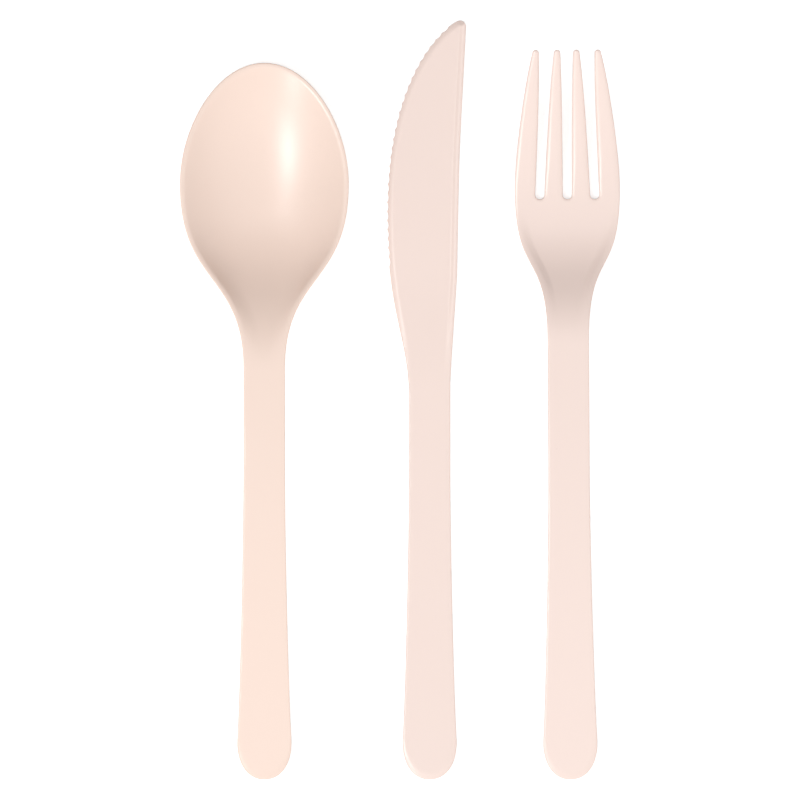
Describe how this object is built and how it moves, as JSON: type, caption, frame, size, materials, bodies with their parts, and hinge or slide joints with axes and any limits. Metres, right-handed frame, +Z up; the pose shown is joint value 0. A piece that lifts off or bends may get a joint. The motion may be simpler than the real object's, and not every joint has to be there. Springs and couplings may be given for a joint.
{
  "type": "cutlery set",
  "caption": "Moulded disposable cutlery set lying flat: a spoon with an oval bowl, a serrated table knife and a four-tined fork with matching flared handles.",
  "frame": {"origin": "on the table under the middle of the set's bounding box", "axes": "+Y runs from the handle ends to the tips, +Z up from the table, +X from the spoon to the fork"},
  "size_m": [0.0978, 0.1686, 0.01],
  "materials": {
    "spoon_plastic": "satin",
    "knife_plastic": "satin",
    "fork_plastic": "satin"
  },
  "bodies": {
    "root": {"spoon": "spoon_plastic", "knife": "knife_plastic", "fork": "fork_plastic"}
  },
  "joints": []
}
